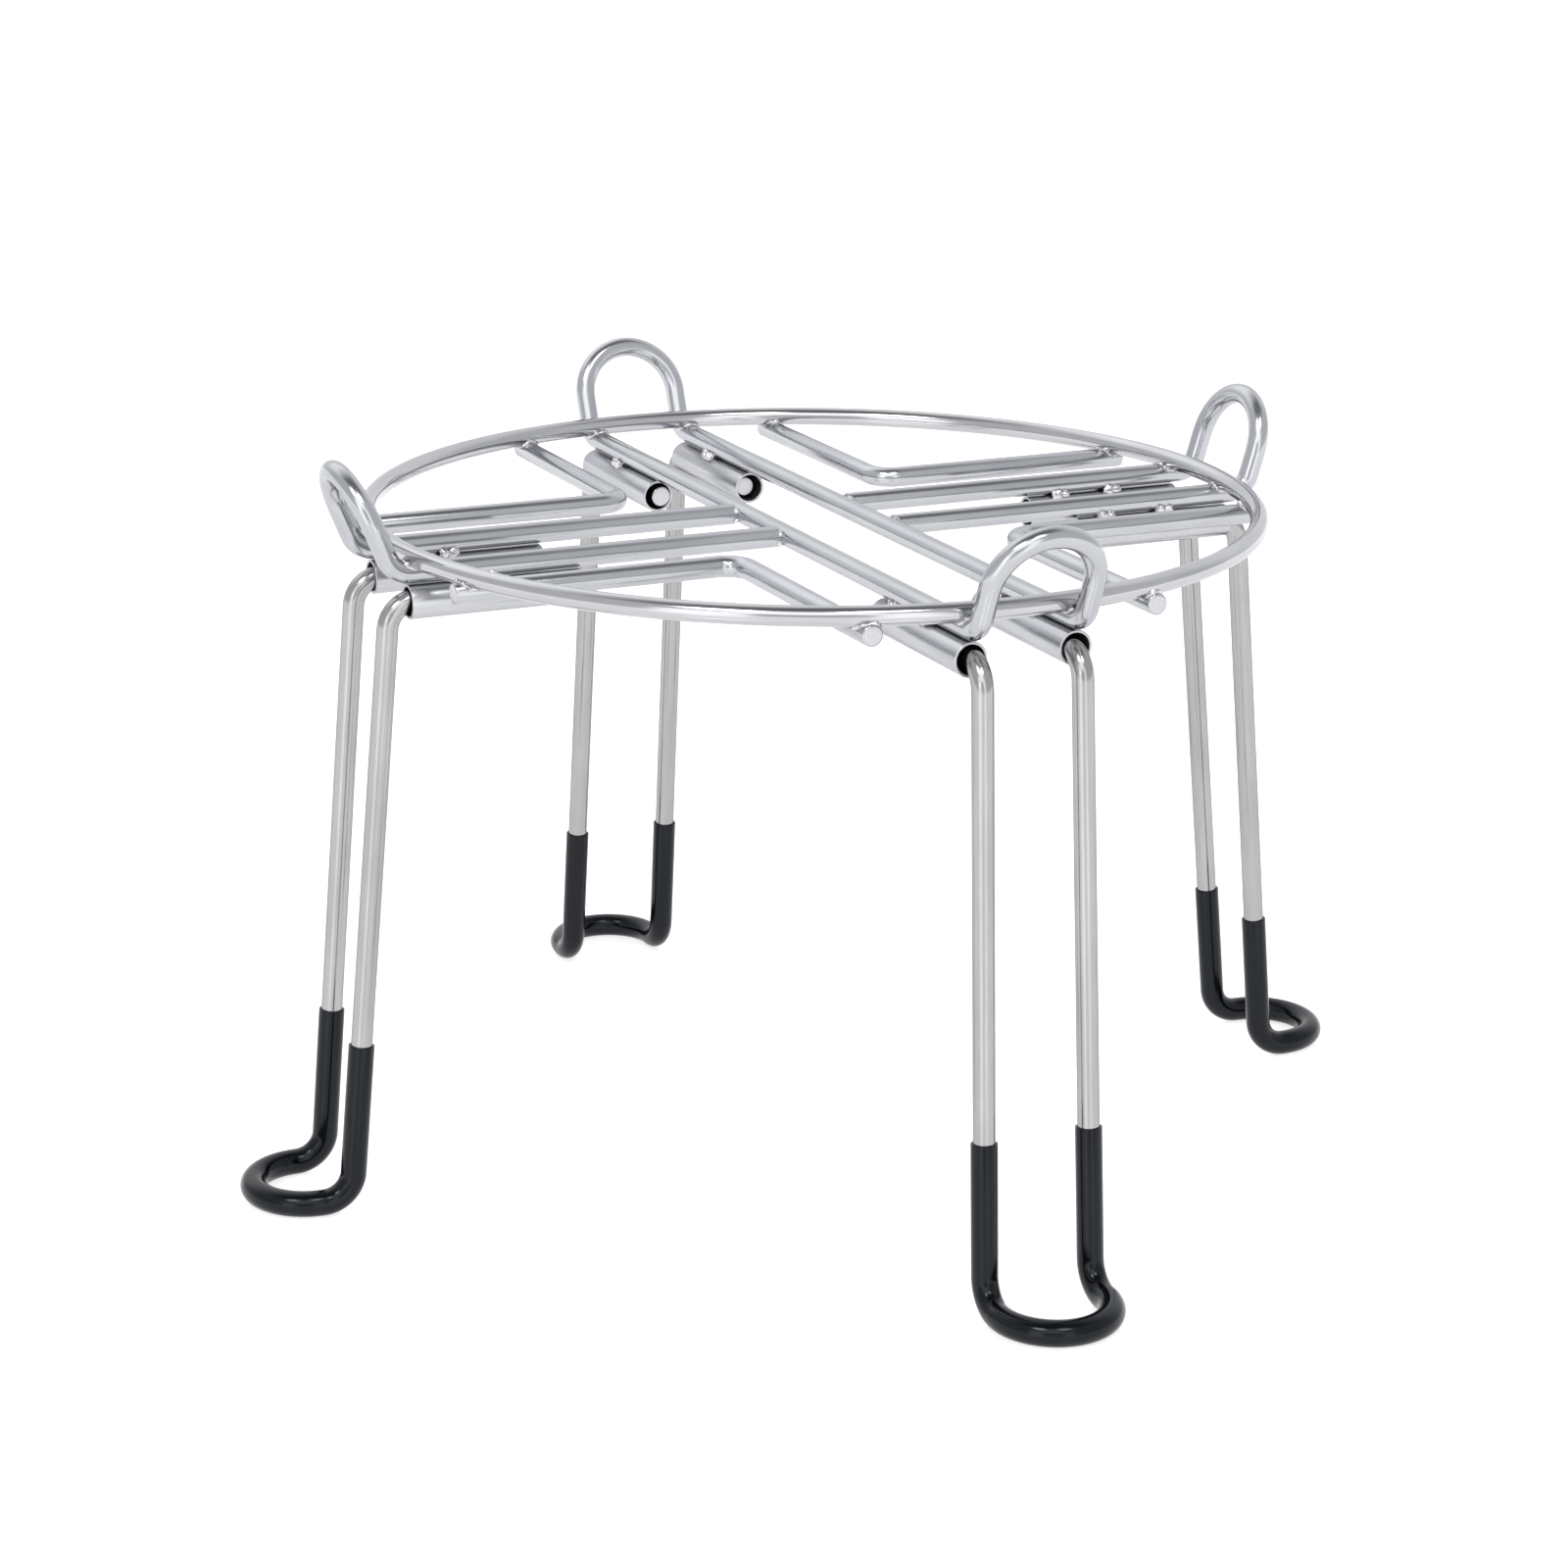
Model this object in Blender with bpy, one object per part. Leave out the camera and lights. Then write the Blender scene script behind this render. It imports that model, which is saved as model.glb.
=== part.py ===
"""Round wire cooling rack: a ring on a welded wire frame, standing on four plug-in wire legs.

Units are metres. The floor is Z = 0 and the ring's centre line stands over the origin. The two
long bars run along Y, so each leg is named after the side that it stands on: right is +X and
back is +Y. Every leg slides straight out of its two sockets, away from the middle of the rack.
"""
import math

import bmesh
import bpy
from mathutils import Matrix, Vector

# Wires, tubes and sleeves
RING_WIRE = 0.0050
FRAME_WIRE = 0.0054
TUBE_OUTSIDE = 0.0087
TUBE_BORE = 0.0072
SLEEVE_OUTSIDE = 0.0066
SLEEVE_BORE = 0.0058
WELD_GAP = 0.0003
SOCKET_GAP = 0.0005

# Top frame
RING_RADIUS = 0.1148
RING_OVER_FRAME = 0.0039
STRAND_SPACING = 0.0276
CORNER_OFFSET = 0.0375
CORNER_BEND = 0.0060
CORNER_OVERHANG = 0.0012

# Upturned loops at the four sides, outside the ring
LOOP_FOOT = 0.1190
LOOP_RISE = 0.0233
LOOP_LEAN = math.radians(22.0)
LOOP_BEND = 0.0060

# Sockets and legs, measured outwards from the middle of the rack
TUBE_START = 0.0704
TUBE_LENGTH = 0.0452
STUB_START = 0.0696
STRAND_TOP = 0.1200
LEG_DROP = 0.1544
LEG_SPLAY = 0.0907
LEG_TOP_BEND = 0.0075
LEG_FOOT_BEND = 0.0080
FOOT_STRAIGHT = 0.0080
SLEEVE_HEIGHT = 0.0385

# Faceting
SIDES = 12
RING_SEGMENTS = 60
BEND_STEP = math.radians(23.0)

SIDE_ANGLES = {"right": 0.0, "back": 90.0, "left": 180.0, "front": 270.0}
SOCKET_SIDES = {
    "right": ("front", "back"),
    "back": ("right", "left"),
    "left": ("back", "front"),
    "front": ("left", "right"),
}
CORNERS = {
    "back_right": (1, 1),
    "back_left": (-1, 1),
    "front_left": (-1, -1),
    "front_right": (1, -1),
}

# Heights, worked out from the floor up; a section's flats face up and down
FLAT = math.cos(math.pi / SIDES)
HALF_SPACING = STRAND_SPACING / 2
FOOT_Z = SLEEVE_OUTSIDE / 2 * FLAT
SOCKET_Z = FOOT_Z + LEG_DROP
FRAME_Z = SOCKET_Z + (TUBE_OUTSIDE + FRAME_WIRE) / 2 * FLAT + SOCKET_GAP
RING_Z = FRAME_Z + RING_OVER_FRAME


def clear_scene():
    for item in list(bpy.data.objects):
        bpy.data.objects.remove(item, do_unlink=True)


def make_material(name, colour, roughness, metallic):
    material = bpy.data.materials.new(name)
    material.use_nodes = True
    shader = material.node_tree.nodes["Principled BSDF"]
    shader.inputs["Base Color"].default_value = (*colour, 1.0)
    shader.inputs["Roughness"].default_value = roughness
    shader.inputs["Metallic"].default_value = metallic
    return material


def steel(name):
    return make_material(name, (0.62, 0.64, 0.66), 0.24, 1.0)


def black_vinyl(name):
    return make_material(name, (0.014, 0.015, 0.017), 0.38, 0.0)


def bend_points(corner, before, after, radius):
    """Points along the arc that rounds one corner of a route."""
    back = (before - corner).normalized()
    ahead = (after - corner).normalized()
    turn = math.pi - back.angle(ahead)
    tangent = radius * math.tan(turn / 2)
    start = corner + back * tangent
    inward = (back + ahead).normalized()
    centre = corner + inward * math.hypot(radius, tangent)
    axis = (start - centre).cross(-back).normalized()
    steps = max(2, math.ceil(turn / BEND_STEP))
    spoke = start - centre
    return [centre + Matrix.Rotation(turn * i / steps, 3, axis) @ spoke for i in range(steps + 1)]


def rounded_route(corners, closed=False):
    """A wire's centre line through (point, bend radius) pairs; a radius of 0 is a free end."""
    points = []
    for i, (corner, radius) in enumerate(corners):
        if radius == 0:
            fresh = [corner]
        else:
            before = corners[i - 1][0]
            after = corners[(i + 1) % len(corners)][0]
            fresh = bend_points(corner, before, after, radius)
        for point in fresh:
            if not points or (point - points[-1]).length > 1e-6:
                points.append(point)
    if closed and (points[0] - points[-1]).length < 1e-6:
        points.pop()
    return points


def section_frames(points, closed):
    """The two section directions at each point, carried along the route without twist."""
    count = len(points)
    frames = []
    up = Vector((0, 0, 1))
    last = None
    for i in range(count):
        behind = points[i - 1] if closed or i > 0 else points[i]
        ahead = points[(i + 1) % count] if closed or i < count - 1 else points[i]
        incoming = (points[i] - behind).normalized()
        outgoing = (ahead - points[i]).normalized()
        tangent = (incoming + outgoing).normalized()
        if last is not None:
            up = last.rotation_difference(tangent) @ up
        up = (up - tangent * up.dot(tangent)).normalized()
        frames.append((up.copy(), tangent.cross(up)))
        last = tangent
    return frames


def add_skin(mesh, points, frames, radius):
    """One ring of vertices around each point of the route."""
    rings = []
    for point, (up, across) in zip(points, frames):
        ring = []
        for k in range(SIDES):
            angle = (k + 0.5) * math.tau / SIDES
            offset = up * math.cos(angle) + across * math.sin(angle)
            ring.append(mesh.verts.new(point + offset * radius))
        rings.append(ring)
    return rings


def add_walls(mesh, rings, closed, inward=False):
    """Quads between neighbouring rings."""
    spans = len(rings) if closed else len(rings) - 1
    for i in range(spans):
        near = rings[i]
        far = rings[(i + 1) % len(rings)]
        for k in range(SIDES):
            n = (k + 1) % SIDES
            corners = [near[k], near[n], far[n], far[k]]
            mesh.faces.new(corners[::-1] if inward else corners)


def finish_mesh(mesh, name, material):
    """Turn the mesh's faces out, shade it smooth and put it in the scene."""
    bmesh.ops.recalc_face_normals(mesh, faces=mesh.faces)
    data = bpy.data.meshes.new(name)
    mesh.to_mesh(data)
    mesh.free()
    data.materials.append(material)
    data.shade_smooth()
    data.set_sharp_from_angle(angle=math.radians(45))
    item = bpy.data.objects.new(name, data)
    bpy.context.scene.collection.objects.link(item)
    return item


def make_wire(name, points, diameter, material, closed=False):
    """A solid round wire along a route, with flat cut ends unless it closes on itself."""
    mesh = bmesh.new()
    frames = section_frames(points, closed)
    rings = add_skin(mesh, points, frames, diameter / 2)
    add_walls(mesh, rings, closed)
    if not closed:
        mesh.faces.new(rings[0])
        mesh.faces.new(rings[-1])
    return finish_mesh(mesh, name, material)


def make_pipe(name, points, outside, bore, material):
    """An open-ended round pipe along a route."""
    mesh = bmesh.new()
    frames = section_frames(points, False)
    outer = add_skin(mesh, points, frames, outside / 2)
    inner = add_skin(mesh, points, frames, bore / 2)
    add_walls(mesh, outer, False)
    add_walls(mesh, inner, False, inward=True)
    for end in (0, -1):
        for k in range(SIDES):
            n = (k + 1) % SIDES
            mesh.faces.new([outer[end][k], outer[end][n], inner[end][n], inner[end][k]])
    return finish_mesh(mesh, name, material)


def loop_corners(side, height):
    """The four bends of an upturned loop: up, over and down again outside the ring."""
    lean = math.tan(LOOP_LEAN) * LOOP_RISE
    turned = Matrix.Rotation(math.radians(SIDE_ANGLES[side]), 3, "Z")
    places = [
        (LOOP_FOOT, -HALF_SPACING, height, LOOP_BEND),
        (LOOP_FOOT + lean, -HALF_SPACING, height + LOOP_RISE, HALF_SPACING),
        (LOOP_FOOT + lean, HALF_SPACING, height + LOOP_RISE, HALF_SPACING),
        (LOOP_FOOT, HALF_SPACING, height, LOOP_BEND),
    ]
    return [(turned @ Vector((x, y, z)), bend) for x, y, z, bend in places]


def ring_points():
    points = []
    for i in range(RING_SEGMENTS):
        angle = i * math.tau / RING_SEGMENTS
        points.append(Vector((math.cos(angle), math.sin(angle), 0)) * RING_RADIUS)
    return points


def make_ring():
    ring = make_wire("top_ring", ring_points(), RING_WIRE, steel("top_ring_steel"), closed=True)
    ring.location.z = RING_Z


def make_seat_cutter():
    """The ring with its weld gap around it: the saddle that it presses into each wire."""
    seat = RING_WIRE + 2 * WELD_GAP
    material = steel("ring_seat_cutter_steel")
    cutter = make_wire("ring_seat_cutter", ring_points(), seat, material, closed=True)
    cutter.location.z = RING_Z
    cutter.hide_render = True
    cutter.display_type = "WIRE"
    return cutter


def cut_seats(wire, cutter):
    """Sink a frame wire's crossings with the ring into it, where welding presses them together."""
    seats = wire.modifiers.new("ring_seats", "BOOLEAN")
    seats.operation = "DIFFERENCE"
    seats.solver = "EXACT"
    seats.object = cutter


def make_long_frame(cutter):
    """The two long bars and their loops, one wire butt-welded into an endless frame."""
    corners = loop_corners("front", 0.0) + loop_corners("back", 0.0)
    points = rounded_route(corners, closed=True)
    material = steel("long_frame_steel")
    frame = make_wire("long_frame_wire", points, FRAME_WIRE, material, closed=True)
    frame.location.z = FRAME_Z
    cut_seats(frame, cutter)


def make_arm(side, cutter):
    """Two short bars and a loop, welded to the side of one long bar."""
    turned = Matrix.Rotation(math.radians(SIDE_ANGLES[side]), 3, "Z")
    weld = HALF_SPACING + FRAME_WIRE / 2 + WELD_GAP
    start = (turned @ Vector((weld, -HALF_SPACING, 0)), 0)
    end = (turned @ Vector((weld, HALF_SPACING, 0)), 0)
    points = rounded_route([start] + loop_corners(side, 0.0) + [end])
    arm = make_wire(f"{side}_arm_wire", points, FRAME_WIRE, steel(f"{side}_arm_steel"))
    arm.location.z = FRAME_Z
    cut_seats(arm, cutter)


def make_corner_wire(place, cutter):
    """An L of wire under the ring, its bend towards the middle of the rack."""
    along_x, along_y = CORNERS[place]
    ring_outside = RING_RADIUS + RING_WIRE / 2
    reach = math.sqrt(ring_outside ** 2 - CORNER_OFFSET ** 2) + CORNER_OVERHANG
    corners = [
        (Vector((along_x * reach, along_y * CORNER_OFFSET, 0)), 0),
        (Vector((along_x * CORNER_OFFSET, along_y * CORNER_OFFSET, 0)), CORNER_BEND),
        (Vector((along_x * CORNER_OFFSET, along_y * reach, 0)), 0),
    ]
    name = f"{place}_corner_wire"
    wire = make_wire(name, rounded_route(corners), FRAME_WIRE, steel(f"{place}_corner_steel"))
    wire.location.z = FRAME_Z
    cut_seats(wire, cutter)


def make_sockets(side):
    """The two tubes that hold one leg, welded under the frame wires."""
    angle = math.radians(SIDE_ANGLES[side])
    for sign, place in zip((-1, 1), SOCKET_SIDES[side]):
        name = f"{side}_socket_{place}"
        points = [Vector((0, 0, 0)), Vector((TUBE_LENGTH, 0, 0))]
        tube = make_pipe(name, points, TUBE_OUTSIDE, TUBE_BORE, steel(f"{name}_steel"))
        start = Vector((TUBE_START, sign * HALF_SPACING, SOCKET_Z))
        tube.location = Matrix.Rotation(angle, 3, "Z") @ start
        tube.rotation_euler.z = angle


def leg_route():
    """One leg's centre line, seen from the mouth of its sockets, with X pointing outwards."""
    mouth = TUBE_START + TUBE_LENGTH
    top = STRAND_TOP - mouth
    ankle = top + LEG_DROP * LEG_SPLAY
    toe = ankle + FOOT_STRAIGHT + HALF_SPACING
    half = [
        (Vector((STUB_START - mouth, -HALF_SPACING, 0)), 0),
        (Vector((top, -HALF_SPACING, 0)), LEG_TOP_BEND),
        (Vector((ankle, -HALF_SPACING, -LEG_DROP)), LEG_FOOT_BEND),
        (Vector((toe, -HALF_SPACING, -LEG_DROP)), HALF_SPACING),
    ]
    mirrored = [(Vector((p.x, -p.y, p.z)), bend) for p, bend in reversed(half)]
    return half + mirrored


def sleeve_route():
    """The low end of the leg's centre line, up to the sleeve's cut edges."""
    legs = leg_route()
    fraction = SLEEVE_HEIGHT / LEG_DROP
    top = legs[2][0].lerp(legs[1][0], fraction)
    mirrored_top = Vector((top.x, -top.y, top.z))
    return [(top, 0)] + legs[2:-2] + [(mirrored_top, 0)]


def make_leg(side):
    """A leg and its foot sleeve, on an empty that lies on the line they slide along."""
    slide = bpy.data.objects.new(f"{side}_leg_slide", None)
    bpy.context.scene.collection.objects.link(slide)
    angle = math.radians(SIDE_ANGLES[side])
    mouth = Vector((TUBE_START + TUBE_LENGTH, 0, SOCKET_Z))
    slide.location = Matrix.Rotation(angle, 3, "Z") @ mouth
    slide.rotation_euler.z = angle
    wire = rounded_route(leg_route())
    cover = rounded_route(sleeve_route())
    leg = make_wire(f"{side}_leg_wire", wire, FRAME_WIRE, steel(f"{side}_leg_steel"))
    vinyl = black_vinyl(f"{side}_foot_vinyl")
    sleeve = make_pipe(f"{side}_foot_sleeve", cover, SLEEVE_OUTSIDE, SLEEVE_BORE, vinyl)
    leg.parent = slide
    sleeve.parent = slide


def main():
    clear_scene()
    make_ring()
    cutter = make_seat_cutter()
    make_long_frame(cutter)
    for side in ("left", "right"):
        make_arm(side, cutter)
    for place in CORNERS:
        make_corner_wire(place, cutter)
    for side in SIDE_ANGLES:
        make_sockets(side)
        make_leg(side)


main()
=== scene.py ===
"""Looks of the round wire cooling rack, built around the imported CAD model.

Units are metres and the floor is Z = 0. Every wire, tube and sleeve is swept again along the route
of the CAD node that it stands for, with round sections, rounded bends and finished cut ends. Weld
metal is added where the wires and tubes meet.
"""
import math

import bpy
from mathutils import Matrix, Vector, noise


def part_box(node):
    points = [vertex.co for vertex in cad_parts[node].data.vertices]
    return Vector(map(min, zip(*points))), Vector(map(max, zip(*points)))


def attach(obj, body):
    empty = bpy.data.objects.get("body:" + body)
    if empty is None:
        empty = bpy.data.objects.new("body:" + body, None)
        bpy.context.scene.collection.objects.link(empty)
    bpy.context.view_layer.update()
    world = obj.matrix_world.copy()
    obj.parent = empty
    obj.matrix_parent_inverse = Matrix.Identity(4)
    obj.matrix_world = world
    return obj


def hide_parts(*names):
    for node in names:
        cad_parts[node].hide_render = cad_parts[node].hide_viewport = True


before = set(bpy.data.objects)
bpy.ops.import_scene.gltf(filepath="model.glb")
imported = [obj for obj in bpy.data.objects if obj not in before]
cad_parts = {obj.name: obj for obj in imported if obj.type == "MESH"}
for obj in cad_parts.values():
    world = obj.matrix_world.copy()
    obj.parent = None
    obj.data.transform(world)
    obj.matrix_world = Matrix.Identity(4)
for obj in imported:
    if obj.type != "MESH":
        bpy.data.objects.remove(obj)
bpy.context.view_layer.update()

MM = 0.001
SIDE_ANGLES = {"right": 0.0, "back": 90.0, "left": 180.0, "front": 270.0}
SOCKET_SIDES = {
    "right": ("front", "back"),
    "back": ("right", "left"),
    "left": ("back", "front"),
    "front": ("left", "right"),
}
CORNERS = {
    "back_right": (1, 1),
    "back_left": (-1, 1),
    "front_left": (-1, -1),
    "front_right": (1, -1),
}

# Sections, read from the CAD nodes. Their 12-sided sections have flats facing up, down and sideways
CAD_SIDES = 12
FLAT = math.cos(math.pi / CAD_SIDES)
RING_LOW, RING_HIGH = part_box("top_ring")
CORNER_LOW, CORNER_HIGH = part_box("back_right_corner_wire")
TUBE_LOW, TUBE_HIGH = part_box("right_socket_back")

RING_WIRE = (RING_HIGH[2] - RING_LOW[2]) / FLAT
RING_RADIUS = RING_HIGH[0] - RING_WIRE / 2 * FLAT
RING_Z = (RING_HIGH[2] + RING_LOW[2]) / 2
FRAME_WIRE = 5.4 * MM
FRAME_Z = (CORNER_HIGH[2] + CORNER_LOW[2]) / 2
CORNER_OFFSET = CORNER_LOW[0] + FRAME_WIRE / 2 * FLAT
CORNER_REACH = CORNER_HIGH[0]
TUBE_OUTSIDE = (TUBE_HIGH[2] - TUBE_LOW[2]) / FLAT
TUBE_BORE = 7.2 * MM
TUBE_START = TUBE_LOW[0]
TUBE_END = TUBE_HIGH[0]
SOCKET_Z = (TUBE_HIGH[2] + TUBE_LOW[2]) / 2
HALF_SPACING = (TUBE_HIGH[1] + TUBE_LOW[1]) / 2
SLEEVE_OUTSIDE = 6.6 * MM

# Routes
CORNER_BEND = 6.0 * MM
LOOP_FOOTS = {"right": 121.6 * MM, "back": 119.0 * MM, "left": 119.0 * MM, "front": 119.0 * MM}
LOOP_TOP = 128.41 * MM
LOOP_RISE = 23.3 * MM
LOOP_BEND = 6.0 * MM
STUB_START = 69.6 * MM
STRAND_TOP = 120.0 * MM
LEG_SPLAY = 0.0907
LEG_TOP_BEND = 7.5 * MM
LEG_FOOT_BEND = 8.0 * MM
FOOT_STRAIGHT = 8.0 * MM

# The legs are sprung a little together where they plug in, bear up under the tubes' mouths and part
# at the foot
STUB_PINCH = 0.62 * MM
MOUTH_PINCH = 0.66 * MM
MOUTH_LIFT = 0.25 * MM
FOOT_SPREAD = 0.40 * MM

# Hand-bent legs differ a little: how far the foot stands outwards and sideways, how many degrees it
# is turned, how high its sleeve reaches, and how much its first end is cut short
LEG_SETS = {
    "right": (1.9 * MM, 0.0, -4.0, 38.5 * MM, 0.0),
    "back": (0.0, 0.9 * MM, -1.5, 39.3 * MM, 2.8 * MM),
    "left": (-0.8 * MM, 0.0, -3.4, 41.0 * MM, 0.0),
    "front": (0.8 * MM, -1.7 * MM, -1.7, 39.9 * MM, 0.0),
}

# Where the tubes are welded to their bars, from the middle outwards, and how large the welds are
SOCKET_WELDS = {
    "right": ((79.0 * MM, 1.0), (95.5 * MM, 1.0)),
    "back": ((94.5 * MM, 1.0),),
    "left": ((95.5 * MM, 1.0),),
    "front": ((80.0 * MM, 0.7), (95.5 * MM, 0.9)),
}
WELD_HEIGHT = 4.7 * MM
WELD_FLANK = 2.1 * MM
WELD_DRIFT = 1.2 * MM
WELD_LOBES = ((-1.25 * MM, 1.0), (1.15 * MM, 0.85))
WELD_HALF_AXES = (1.6 * MM, 1.35 * MM, 1.65 * MM)
WELD_RELIEF = 0.26

# The bead in the crease round each ring crossing
RING_BEAD = 0.66 * MM
RING_BEAD_RELIEF = 0.62
RING_BEAD_GRAIN = 1.2 * MM
RING_BEAD_LEAST = 0.35
CREASE_GAP = 0.10 * MM
CREASE_STATIONS = 40
CREASE_STEPS = 30

# The lumps where an arm's cut end meets a long bar: (flank, height) of each, and their half axes
ARM_LUMPS = ((-1, 1.3 * MM), (1, 1.1 * MM), (-1, -1.2 * MM), (1, -1.3 * MM))
ARM_LUMP_FLANK = 1.7 * MM
ARM_LUMP_OUT = 0.1 * MM
ARM_LUMP_HALF_AXES = (1.0 * MM, 1.15 * MM, 0.95 * MM)
ARM_LUMP_RELIEF = 0.20

# Relief of weld metal: a broad and a fine noise, each as (grain, height), moved by the bead's number
BUMP_BROAD = (1.0, 1.5)
BUMP_FINE = (0.38, 0.55)
BUMP_STEP = (3.17, 1.31, 2.03)
NUGGET_GRAIN = 1.1 * MM
FIRST_ARM_SEED = 40
FIRST_SOCKET_SEED = 60
DRIFT_STEP = 0.7
DRIFT_ROW = (2.3, 4.1)

# Small clearances: an arm's end in its bar, a sleeve on its wire and the two halves of a toe bend
ARM_SINK = 0.15 * MM
SLEEVE_ROOM = 0.06 * MM
TOE_SLACK = 0.02 * MM
SAME_POINT = 0.001 * MM

# Each piece takes its own stretch of the drawn grain, by its name
NAME_STEP = 0.61
LETTER_STEP = 0.137
GRAIN_SPAN = 7.0

# Fineness of the swept skins
WIRE_SIDES = 32
TUBE_SIDES = 48
BEAD_SIDES = 14
NUGGET_SIDES = 18
NUGGET_BANDS = 12
SHARP_ANGLE = math.radians(50.0)
STEEP = 0.9
BEND_STEP = math.radians(6.0)
RING_STATIONS = 180
EDGE_STEPS = 3
EDGE_ROUND = 0.30 * MM
LIP_ROUND = 0.16 * MM
TUBE_LIP = 0.26 * MM
CORNER_EDGE = 0.55 * MM

# Grain of the finishes, as features per metre (along the wire, across it)
STEEL_STREAKS = 38.0
STEEL_CLOUDS = (45.0, 260.0)
STEEL_PITS = (5200.0, 5200.0)
CUT_MARKS = (300.0, 1900.0)
WELD_RIPPLE = (1500.0, 1500.0)
WELD_HEAT = (420.0, 420.0)
BORE_SCALE = (160.0, 900.0)
VINYL_PEEL = (900.0, 900.0)
VINYL_DRAW = (70.0, 1500.0)
VINYL_DUST = (130.0, 130.0)

# Fine relief of the finishes: (depth, strength)
STREAK_RELIEF = (0.010 * MM, 0.5)
PIT_RELIEF = (0.004 * MM, 0.5)
CUT_RELIEF = (0.05 * MM, 0.5)
RIPPLE_RELIEF = (0.20 * MM, 0.55)
PEEL_RELIEF = (0.012 * MM, 0.3)
DRAW_RELIEF = (0.012 * MM, 0.4)

# Colours of the finishes along their noise, and the range of their roughness
STEEL_STOPS = (0.32, 0.5, 0.68)
CUT_TINTS = [(0.3, (0.50, 0.50, 0.52)), (0.7, (0.66, 0.66, 0.67))]
CUT_ROUGH = (0.30, 0.48)
WELD_TINTS = [(0.30, (0.36, 0.35, 0.35)), (0.46, (0.60, 0.59, 0.59)), (0.68, (0.74, 0.74, 0.75))]
WELD_ROUGH = (0.12, 0.30)
# The bore's tints are painted shade: near black, for the dark inside of the tubes
BORE_SHADE_TINTS = [(0.35, (0.010, 0.010, 0.011)), (0.65, (0.030, 0.029, 0.029))]
BORE_ROUGH = (0.5, 0.8)
BORE_SHINE = 0.2
VINYL_TINTS = [(0.30, (0.0008, 0.0010, 0.0018)), (0.75, (0.0022, 0.0028, 0.0046))]
VINYL_ROUGH = (0.14, 0.20)
VINYL_SHINE = 0.28
VINYL_SHINE_TINT = (0.86, 0.92, 1.0, 1.0)

# Steel at a grazing angle is this bright, and a little bluer
GRAZING = 0.72
GRAZING_BLUE = 1.02

# Floor
FLOOR_SIDES = 64
FLOOR_RADIUS = 14.0
FLOOR_WHITE = (0.5, 0.5, 0.5, 1.0)
FLOOR_ROUGHNESS = 0.12
FLOOR_SHINE = 0.6
FLOOR_GLOW = 0.75

# Brightness of the dome by height in degrees, and patches of light on it: degrees left of the
# camera and up, half angles where the patch is full and where it has faded, and added brightness
DOME_TINT = (0.985, 1.0, 1.02)
DOME_STOPS = [(-5.0, 0.95), (0.0, 0.90), (8.0, 0.80), (48.0, 0.78), (58.0, 0.50), (66.0, 0.26),
              (90.0, 0.22)]
SOFT_BOXES = [
    (27.0, 6.0, 10.0, 15.0, 0.95),
    (27.0, 22.0, 10.0, 15.0, 0.95),
    (-24.0, 8.0, 7.0, 12.0, 0.90),
    (-22.0, 24.0, 7.0, 12.0, 0.90),
    (3.0, 40.0, 13.0, 18.0, 1.25),
    (180.0, 22.0, 30.0, 70.0, 0.30),
    (140.0, 50.0, 16.0, 36.0, 0.45),
    (29.0, 51.0, 5.0, 10.0, 8.0),
    (-24.0, 56.0, 4.5, 9.5, 8.0),
]

# Camera: where it stands, how it is turned, and its lens and sensor in millimetres
CAMERA_AZIMUTH = math.radians(-24.878)
CAMERA_ELEVATION = math.radians(17.146)
CAMERA_ROLL = math.radians(0.4985)
CAMERA_PLACE = Vector((-0.39831, -0.84264, 0.38065))
CAMERA_LENS = 84.578
CAMERA_SENSOR = 36.0
CAMERA_REACH = 100.0


def turned(side):
    """Rotation about Z that takes +X to the side that a leg or loop stands on."""
    return Matrix.Rotation(math.radians(SIDE_ANGLES[side]), 3, "Z")


# ---------------------------------------------------------------- routes


def bend_points(corner, before, after, radius):
    """Points along the arc that rounds one corner of a route."""
    back = (before - corner).normalized()
    ahead = (after - corner).normalized()
    turn = math.pi - back.angle(ahead)
    tangent = radius * math.tan(turn / 2)
    start = corner + back * tangent
    inward = (back + ahead).normalized()
    centre = corner + inward * math.hypot(radius, tangent)
    axis = (start - centre).cross(-back).normalized()
    steps = max(2, math.ceil(turn / BEND_STEP))
    spoke = start - centre
    return [centre + Matrix.Rotation(turn * i / steps, 3, axis) @ spoke for i in range(steps + 1)]


def rounded_route(corners, closed=False):
    """A centre line through (point, bend radius) pairs; a radius of 0 is a free end."""
    points = []
    for i, (corner, radius) in enumerate(corners):
        if radius == 0:
            fresh = [corner]
        else:
            before = corners[i - 1][0]
            after = corners[(i + 1) % len(corners)][0]
            fresh = bend_points(corner, before, after, radius)
        for point in fresh:
            if not points or (point - points[-1]).length > SAME_POINT:
                points.append(point)
    if closed and (points[0] - points[-1]).length < SAME_POINT:
        points.pop()
    return points


def tangents_of(points, closed):
    """The direction of a route at each of its points."""
    count = len(points)
    found = []
    for i in range(count):
        behind = points[i - 1] if closed or i > 0 else points[i]
        ahead = points[(i + 1) % count] if closed or i < count - 1 else points[i]
        step = (points[i] - behind).normalized() + (ahead - points[i]).normalized()
        found.append(step.normalized())
    return found


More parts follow.
